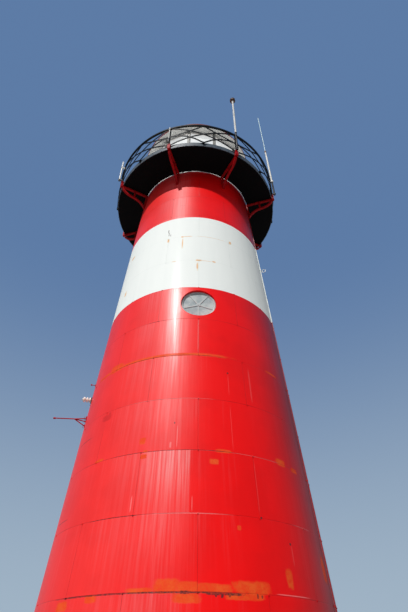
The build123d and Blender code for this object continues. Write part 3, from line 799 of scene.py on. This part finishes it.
def all_facing(azimuths, radius, levels, shifts=(0.0,)):
    """Places on upright faces, at every azimuth, level and shift."""
    return [
        facing(azimuth, radius, level, shift)
        for azimuth in azimuths
        for level in levels
        for shift in shifts
    ]


def standing(azimuth, radius, level):
    """Place on a level surface."""
    return at(azimuth, radius, level), upright, outward(azimuth)


def on_wall(azimuth, level):
    """Place on the sloping wall."""
    normal = (outward(azimuth) + upright * wall_slope).normalized()
    return at(azimuth, wall_radius(level), level), normal, upright


def lantern_side(number):
    """Azimuth of the middle of one of the lantern's sides."""
    return lantern_corner + 360.0 / lantern_sides * (number + 0.5)


def seam_levels(top, courses=1):
    """Levels of the shell's seams below a top, every so many courses."""
    levels = [first_seam]
    while levels[-1] + courses * course_height < top:
        levels.append(levels[-1] + courses * course_height)
    return levels


def set_heads(name, places, radius, height, material, slot):
    """Six-sided bolt heads on thin round washers."""
    plan = Plan(name, sides=6, radius=radius, height=height, washer=radius * 1.35)
    seat = height / 4
    plan.disc(16, "washer", seat)
    plan.disc("sides", "radius", "height", place=(0, 0, seat))
    plan.make(places, material, slot)


def set_rivets(name, places, radius, height, material, slot):
    """Low rounded rivet heads."""
    plan = Plan(name, radius=radius, height=height)
    foot = plan.times("height", 0.55)
    shoulder = plan.times("radius", 0.8)
    plan.disc(10, "radius", foot, shoulder)
    plan.disc(10, shoulder, plan.times("height", 0.45), plan.times("radius", 0.35), (0, 0, foot))
    plan.make(places, material, slot)


def set_beads(name, places, panels, half_width, bead, depth, material, slot):
    """Beads round panels, which lie between given heights over each place."""
    plan = Plan(name, bead=bead, depth=depth)
    for low_edge, high_edge in panels:
        tall = high_edge - low_edge
        centre = (low_edge + high_edge) / 2
        for side in (-1, 1):
            height = centre + side * (tall - bead) / 2
            plan.block("bead", tall, "depth", (side * half_width, centre, depth / 2))
            plan.block(2 * half_width - bead, "bead", "depth", (0, height, depth / 2))
    plan.make(places, material, slot)


def set_hinges(name, azimuth, face, shift, levels, strap, material, slot):
    """Strap hinges with knuckles along one edge of a fixed leaf."""
    side = 1 if shift > 0 else -1
    thickness = 0.008
    plan = Plan(name, strap=strap, width=0.045, thickness=thickness, knuckle=0.013)
    plan.block("strap", "width", "thickness", (-side * strap / 2, 0, thickness / 2))
    plan.disc(12, "knuckle", 0.09, place=(side * 0.004, 0.045, 0.01), turn=(90, 0, 0))
    for share in (0.2, 0.5, 0.8):
        plan.disc(8, 0.008, 0.005, 0.005, (-side * strap * share, 0, thickness))
    plan.make(all_facing([azimuth], face, levels, [shift]), material, slot)


def set_rose(name, place, material, slot):
    """Round plate with four bolts behind a fitting on the wall."""
    plan = Plan(name, radius=0.034, depth=0.01, bolt=0.006)
    plan.disc(24, "radius", "depth", 0.03, (0, 0, -0.002))
    for angle in around(4, 45):
        plan.disc(6, "bolt", 0.005, place=(*polar(0.022, angle), 0.008))
    plan.make([place], material, slot)


def shell_bolts():
    """Small heads at the plates' corners and middles, on every seam."""
    red_places = []
    white_places = []
    for level in seam_levels(tower_top - course_height / 2):
        target = white_places if band_bottom < level < band_top else red_places
        target.extend(on_wall(azimuth, level) for azimuth in around(16, even_joint))
    set_heads("shell_bolts_red", red_places, 0.01, 0.008, *red_plates)
    set_heads("shell_bolts_white", white_places, 0.009, 0.007, *white_plates)


def porthole_wheels():
    """Cast wheel before each porthole's pane: rim, hub and five spokes, one straight down."""
    width, rim_depth, spoke_start, spoke_depth = 0.045, 0.014, 0.03, 0.01
    pane_face = wall_radius(porthole_level) - pane_recess
    middle = porthole_radius - width / 2
    length = middle - spoke_start
    azimuths = around(porthole_count, porthole_azimuth)

    sizes = {"rim_width": width, "rim_depth": rim_depth, "hub": 0.045, "spoke": 0.03}
    plan = Plan("porthole_wheels", **sizes, depth=spoke_depth)
    plan.hoop(64, middle, "rim_width", "rim_depth", (0, 0, rim_depth / 2))
    plan.disc(24, "hub", rim_depth, 0.038)
    plan.disc(16, 0.02, 0.008, 0.014, (0, 0, rim_depth))
    for angle in (126, 54, -18, -90, 198):
        place = (*polar(spoke_start + length / 2, angle), spoke_depth / 2)
        plan.block(length, "spoke", "depth", place, (0, 0, angle))
    plan.make(all_facing(azimuths, pane_face, [porthole_level]), *window_iron)

    screws = []
    for azimuth in azimuths:
        for angle in around(10, 18.0):
            up, right = polar(middle, angle)
            screws.append(facing(azimuth, pane_face + rim_depth, porthole_level + up, right))
    set_rivets("porthole_screws", screws, 0.008, 0.004, *window_iron)


def lattice_rivets():
    """Rivets where the railing's flat bars cross, on both faces."""
    outer_face = railing_radius + 0.005
    inner_face = railing_radius - 0.008
    near, far = 0.309, 0.691
    crossings = ((near, near), (near, far), (far, near), (far, far), (0.5, 0.5))
    places = []
    for start in around(bracket_count, bracket_azimuth):
        for share, height in crossings:
            azimuth = start + bay * share
            level = lattice_low + (lattice_high - lattice_low) * height
            places.append(facing(azimuth, outer_face, level))
            places.append((at(azimuth, inner_face, level), -outward(azimuth), upright))
    set_rivets("lattice_rivets", places, 0.012, 0.009, *black_iron)


def gallery_bolts():
    """Bolts of the rim plate, the bracket tips, the post feet and the handrail's joints."""
    tips = around(bracket_count, bracket_azimuth)
    between_tips = [start + bay * step / 8 for start in tips for step in range(1, 8)]
    rim = all_facing(between_tips, deck_edge, [deck_top - 0.012])
    set_heads("rim_bolts", rim, 0.011, 0.008, *rim_iron)

    levels = (tip_top - 0.205, tip_top - 0.032)
    bolts = all_facing(tips, deck_edge + tip_reach, levels, spread(2, 0.044))
    set_heads("tip_bolts", bolts, 0.009, 0.008, *red_iron)

    thickness = 0.008
    plan = Plan("post_feet", plate=0.062, thickness=thickness, bolt=0.006)
    plan.block("plate", "plate", "thickness", (0, 0, thickness / 2))
    for x, y in corners(0.048, 0.048):
        plan.disc(6, "bolt", 0.007, place=(x, y, thickness))
    feet = [standing(azimuth, railing_radius - 0.003, tip_top) for azimuth in tips]
    plan.make(feet, *black_iron)

    joints = all_facing(tips, rail_outer - 0.001, [lattice_high], spread(2, 0.1))
    set_rivets("handrail_rivets", joints, 0.01, 0.006, *black_iron)


def bracket_bolts():
    """Bolts on both side faces of the brackets, where the bars meet."""
    knee = wall_radius(tower_top) + 0.467 - 0.055
    leg_foot = tower_top - 0.6
    strut_foot = tower_top - 0.3
    upper_chord = tower_top - 0.023
    meetings = (
        (wall_radius(leg_foot) + 0.023, leg_foot),
        (wall_radius(strut_foot) + 0.023, strut_foot),
        (wall_radius(tower_top) + 0.028, tower_top - 0.03),
        (knee, strut_foot),
        (knee, upper_chord),
        (deck_edge - 0.05, upper_chord),
    )
    places = []
    for azimuth in around(bracket_count, bracket_azimuth):
        for side in (-1, 1):
            across = sideways(azimuth) * side
            for radius, level in meetings:
                places.append((at(azimuth, radius, level) + across * 0.03, across, upright))
    set_heads("bracket_bolts", places, 0.013, 0.01, *red_iron)


def clamp_nuts(azimuth, stand_off, half_clamp):
    """Places of the nuts on the clamps of one pole, two on each clamp."""
    face = railing_radius + stand_off + half_clamp + 0.006
    return all_facing([azimuth], face, clamp_levels, spread(2, 0.028))


def pole_nuts():
    """Nuts on the clamps of the poles and aerials."""
    dark = clamp_nuts(mast_azimuth, mast_stand_off, 0.029)
    dark += clamp_nuts(whip_azimuth, whip_stand_off, 0.026)
    pale = clamp_nuts(tube_azimuth, tube_stand_off, 0.023)
    pale += clamp_nuts(short_pole_azimuth, mast_stand_off, 0.017)
    set_heads("dark_clamp_nuts", dark, 0.007, 0.007, *black_iron)
    set_heads("pale_clamp_nuts", pale, 0.007, 0.007, *grey_iron)


def mast_fittings():
    """Rings at the mast's joints, and the cage round its lamp."""
    mast_radius = railing_radius + mast_stand_off
    levels = (mast_joint, mast_low.z + 2.1, lamp_foot - 0.03)
    rings = Plan("mast_rings", radius=0.031, width=0.006, height=0.012)
    rings.hoop(24, "radius", "width", "height")
    rings.make([standing(mast_azimuth, mast_radius, level) for level in levels], *mast_iron)

    radius, height, hoop_height = 0.086, 0.07, 0.008
    guard = Plan("mast_lamp_guard", radius=radius, bar=0.005, height=height)
    for level in (hoop_height / 2, height - hoop_height / 2):
        guard.hoop(32, "radius", "bar", hoop_height, (0, 0, level))
    for angle in around(8):
        guard.block("bar", "bar", "height", (*polar(radius, angle), height / 2), (0, 0, angle))
    guard.make([standing(mast_azimuth, mast_radius, lamp_foot)], *mast_iron)


def short_pole_tube():
    """Thin tube in a dark socket beside its post, which ends under the handrail's top."""
    tall = rail_top - 0.054 - short_pole_foot
    plan = Plan("short_pole_tube", socket=0.0165, tube=0.015, collar=0.0168, band=0.03)
    plan.disc(20, "socket", socket_height)
    plan.disc(20, "tube", tall - socket_height, place=(0, 0, socket_height))
    plan.disc(20, "collar", 0.014, place=(0, 0, socket_height - 0.004))
    plan.disc(20, "tube", 0.004, 0.009, (0, 0, tall))
    for level in clamp_levels:
        plan.block(0.044, 0.062, "band", (0, -0.009, level - short_pole_foot))
    place = standing(short_pole_azimuth, railing_radius + mast_stand_off, short_pole_foot)
    piece = plan.make([place], short_pole_paint, "grey_paint")
    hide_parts("short_pole")


def lantern_details():
    """Beads round the panes, cover strips on the mullions, and rivets on the wall panels."""
    half_width = lantern_radius * math.sin(half_side) - 0.034
    wall_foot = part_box("lantern_wall")[0].z
    wall_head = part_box("lantern_wall")[1].z
    pane_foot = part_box("lantern_sill")[1].z
    sides = [lantern_side(number) for number in range(lantern_sides)]
    glazed = [azimuth for azimuth in sides if azimuth != lantern_side(door_side)]

    bead, depth = 0.016, 0.012
    half_pane = (pane_top - pane_foot) / 2
    panes = all_facing(glazed, apothem + 0.005, [(pane_foot + pane_top) / 2])
    half_beads = half_width - bead / 2
    set_beads("pane_beads", panes, [(-half_pane, half_pane)], half_beads, bead, depth, *mullion_strips)

    thickness = 0.006
    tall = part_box("lantern_mullions")[1].z - wall_foot - 0.04
    plan = Plan("mullion_covers", width=0.038, thickness=thickness, screw=0.006)
    plan.block("width", tall, "thickness", (0, 0, thickness / 2))
    for height in spread(9, tall * 0.94):
        plan.disc(8, "screw", 0.003, 0.004, (0, height, thickness))
    edges = around(lantern_sides, lantern_corner)
    strips = all_facing(edges, lantern_radius + 0.035, [wall_foot + 0.02 + tall / 2])
    plan.make(strips, *mullion_strips)

    levels = (wall_foot + 0.05, wall_head - 0.05)
    rivets = all_facing(glazed, apothem + 0.015, levels, spread(5, 2 * (half_width - 0.03)))
    set_rivets("lantern_wall_rivets", rivets, 0.01, 0.006, *white_sheet)
    rivets = all_facing(sides, apothem + 0.03, [pane_top + 0.032], spread(4, 1.7 * half_width))
    set_rivets("lantern_head_rivets", rivets, 0.009, 0.005, *white_sheet)


def roof_details():
    """Standing seams on the roof, fins round the ventilator's neck and a ring under it."""
    neck_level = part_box("roof_ventilator")[0].z
    run = eave_radius - neck_radius
    rise = neck_level - eave_top
    plan = Plan("roof_seams", width=0.022, height=0.016)
    plan.block("width", math.hypot(run, rise) - 0.03, "height", (0, 0, 0.006))
    places = []
    for azimuth in around(lantern_sides, lantern_corner):
        along = (outward(azimuth) * -run + upright * rise).normalized()
        normal = (outward(azimuth) * rise + upright * run).normalized()
        middle = at(azimuth, (eave_radius + neck_radius) / 2, (eave_top + neck_level) / 2)
        places.append((middle, normal, along))
    plan.make(places, *red_sheet)

    fins = Plan("ventilator_fins", width=0.014, height=0.1, depth=0.012)
    fins.block("width", "height", "depth", (0, 0, 0.004))
    fins.make(all_facing(around(24), neck_radius, [neck_level + 0.085]), *red_sheet)

    ring = Plan("neck_ring", radius=0.196, width=0.02, height=0.024)
    ring.hoop(48, "radius", "width", "height", (0, 0, 0.012))
    ring.make([standing(0, 0, neck_level)], *red_sheet)


def entrance_fittings():
    """Hinges, lock plate, frame bolts and panel beads of the ground door."""
    azimuth = porthole_azimuth + 180.0
    face = foot_radius - 0.03
    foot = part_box("entrance_door")[0].z
    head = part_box("entrance_door")[1].z
    middle = (foot + head) / 2
    levels = (foot + 0.055, middle, head - 0.055)
    set_hinges("entrance_hinges", azimuth, face, -0.415, levels, 0.3, *black_iron)

    thickness = 0.006
    plan = Plan("entrance_lock", width=0.075, height=0.105, thickness=thickness, screw=0.006)
    plan.block("width", "height", "thickness", (0, 0, thickness / 2))
    for x, y in corners(0.056, 0.086):
        plan.disc(8, "screw", 0.003, 0.004, (x, y, thickness))
    plan.make([facing(azimuth, face, middle, 0.375)], knob_brass, "knob_brass")

    half_opening = 0.43
    bolts = []
    for side in (-1, 1):
        across = sideways(azimuth) * side
        for step in range(6):
            point = at(azimuth, foot_radius, foot + 0.17 + 0.36 * step) + across * half_opening
            bolts.append((point, -across, upright))
    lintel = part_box("entrance_frame")[1].z - 0.06
    for shift in spread(3, 0.46):
        point = at(azimuth, foot_radius, lintel) + sideways(azimuth) * shift
        bolts.append((point, -upright, outward(azimuth)))
    set_heads("frame_bolts", bolts, 0.013, 0.01, pole_grey, "white_paint")

    half_door = (head - foot) / 2
    panels = ((0.14, half_door - 0.09), (half_door + 0.09, head - foot - 0.14))
    place = facing(azimuth, face, foot)
    set_beads("entrance_door_panels", [place], panels, 0.31, 0.02, 0.01, *red_sheet)


def gallery_door_fittings():
    """Hinges, handle and panel beads of the gallery door."""
    azimuth = lantern_side(door_side)
    face = apothem + 0.02
    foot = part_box("lantern_door")[0].z
    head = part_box("lantern_door")[1].z
    levels = (foot + 0.25, (foot + head) / 2, head - 0.25)
    set_hinges("gallery_hinges", azimuth, face, 0.365, levels, 0.18, *white_sheet)

    thickness = 0.006
    plan = Plan("gallery_handle", plate_width=0.04, plate_height=0.16, lever=0.11, bar=0.016)
    plan.block("plate_width", "plate_height", thickness, (0, 0, thickness / 2))
    plan.disc(12, 0.012, 0.04, place=(0, 0.02, thickness))
    plan.block("lever", "bar", "bar", (0.045, 0.02, 0.04))
    plan.make([facing(azimuth, face, foot + 1.0, -0.32)], *grey_iron)

    panels = ((0.12, 0.88), (1.02, 1.78))
    place = facing(azimuth, face, foot)
    set_beads("gallery_door_panels", [place], panels, 0.26, 0.02, 0.01, *white_sheet)


def wall_fitting_bolts():
    """Screws and bolts of the conductor's clips and of the small fittings on the wall."""
    conductor_azimuth = 64.5
    clips = []
    for level in seam_levels(tower_top - 0.2, courses=2):
        clips.append(facing(conductor_azimuth, wall_radius(level) + 0.026, level))
    set_rivets("clip_screws", clips, 0.008, 0.005, *red_plates)

    insulator_azimuth, seat_level, plate_level = -77.0, 5.912, 5.877
    face = wall_radius(seat_level) + 0.012
    bolts = [
        facing(insulator_azimuth, face, plate_level + y, x) for x, y in corners(0.104, 0.104)
    ]
    set_heads("insulator_plate_bolts", bolts, 0.009, 0.008, *black_iron)

    outrigger_azimuth = -78.0
    bolts = []
    for shift, level in ((-0.075, 5.487), (0.075, 5.487), (0, 5.352)):
        face = wall_radius(level) + 0.04
        for x, y in corners(0.04, 0.04):
            bolts.append(facing(outrigger_azimuth, face, level + y, shift + x))
    set_heads("outrigger_bolts", bolts, 0.006, 0.006, *red_iron)

    hook_azimuth, hook_level = -77.0, 6.268
    ring_azimuth, ring_level = 73.6, 9.8
    set_rose("fitting_roses", on_wall(hook_azimuth, hook_level), *red_iron)
    set_rose("ring_rose", on_wall(ring_azimuth, ring_level), frame_white, "white_paint")


shell_bolts()
porthole_wheels()
lattice_rivets()
gallery_bolts()
bracket_bolts()
pole_nuts()
mast_fittings()
short_pole_tube()
lantern_details()
roof_details()
entrance_fittings()
gallery_door_fittings()
wall_fitting_bolts()

# Stage: a pale floor, one soft key light and an even backdrop
floor_side = 80.0
floor_level = -0.002
floor_colour = (0.55, 0.58, 0.61, 1)
pale_floor_colour = (0.68, 0.71, 0.74, 1)
bounce_colour = (0.23, 0.24, 0.25, 1)
backdrop_top = (0.11, 0.2, 0.38, 1)
backdrop_foot = (0.36, 0.46, 0.56, 1)
fill_colour = (0.93, 0.97, 1.0, 1)
fill_overhead = 0.49
fill_level = 0.1
key_colour = (1.0, 0.97, 0.93)
key_azimuth = -26.0
key_elevation = 48.0
key_strength = 3.42
key_softness = 1.5


def seen_rays(finish):
    """1 for the camera's rays and for those that come by way of metal or glass."""
    path = finish.node("ShaderNodeLightPath", {}).outputs
    shown = finish.math("MAXIMUM", path["Is Camera Ray"], path["Is Glossy Ray"])
    return finish.math("MAXIMUM", shown, path["Is Transmission Ray"])


def stage_floor():
    """Large pale floor just under the tower, darker to the light that bounces off it."""
    mesh = bpy.data.meshes.new("floor")
    low, high = -floor_side, floor_side
    edge = [(low, low), (high, low), (high, high), (low, high)]
    mesh.from_pydata([(x, y, floor_level) for x, y in edge], [], [(0, 1, 2, 3)])
    floor = add_object("floor", mesh)
    finish = Finish("pale_floor")
    cloud = finish.noise(scale=0.3, detail=2.0)
    tone = finish.mix(finish.fade(cloud, 0.3, 0.7, 0.0, 0.1), floor_colour, pale_floor_colour)
    tone = finish.mix(seen_rays(finish), bounce_colour, tone)
    mesh.materials.append(finish.surface(tone, 0.9))


class Backdrop(Finish):
    """Node tree of the world, with the same short calls."""

    def __init__(self, name):
        world = bpy.data.worlds.new(name)
        world.use_nodes = True
        bpy.context.scene.world = world
        self.tree = world.node_tree
        self.tree.nodes.clear()
        self.place = self.tree.nodes.new("ShaderNodeTexCoord").outputs["Generated"]

    def light(self, colour, strength):
        inputs = {"Color": colour, "Strength": strength}
        return self.node("ShaderNodeBackground", inputs).outputs[0]


def light_stage():
    """Soft key light, a fill that is stronger overhead, and a pale backdrop."""
    lamp = bpy.data.lights.new("key", "SUN")
    lamp.energy = key_strength
    lamp.angle = math.radians(key_softness)
    lamp.color = key_colour
    key = add_object("key", lamp)
    across, up = polar(1.0, key_elevation)
    toward = outward(key_azimuth) * across + upright * up
    key.rotation_euler = toward.to_track_quat("Z", "Y").to_euler()

    backdrop = Backdrop("studio")
    height = backdrop.split(backdrop.place)[2]
    fill = backdrop.light(fill_colour, backdrop.fade(height, 0.0, 0.9, fill_level, fill_overhead))
    tone = backdrop.mix(backdrop.fade(height, 0.0, 0.75), backdrop_foot, backdrop_top)
    inputs = {0: seen_rays(backdrop), 1: fill, 2: backdrop.light(tone, 1.0)}
    both = backdrop.node("ShaderNodeMixShader", inputs).outputs[0]
    backdrop.node("ShaderNodeOutputWorld", {"Surface": both})


# Camera: at eye height close to the foot, looking up
camera_place = (0.0, -8.49, 1.6)
camera_pitch = 41.013
camera_yaw = 1.828
camera_lens = 25.04
camera_film = 36.0


def set_camera():
    """Camera at the photograph's place and angle."""
    lens = bpy.data.cameras.new("camera")
    lens.lens = camera_lens
    lens.sensor_width = camera_film
    camera = add_object("camera", lens)
    camera.location = camera_place
    camera.rotation_euler = (math.radians(90 + camera_pitch), 0, math.radians(-camera_yaw))
    bpy.context.scene.camera = camera


stage_floor()
light_stage()
set_camera()
bpy.context.scene.view_settings.view_transform = "Standard"
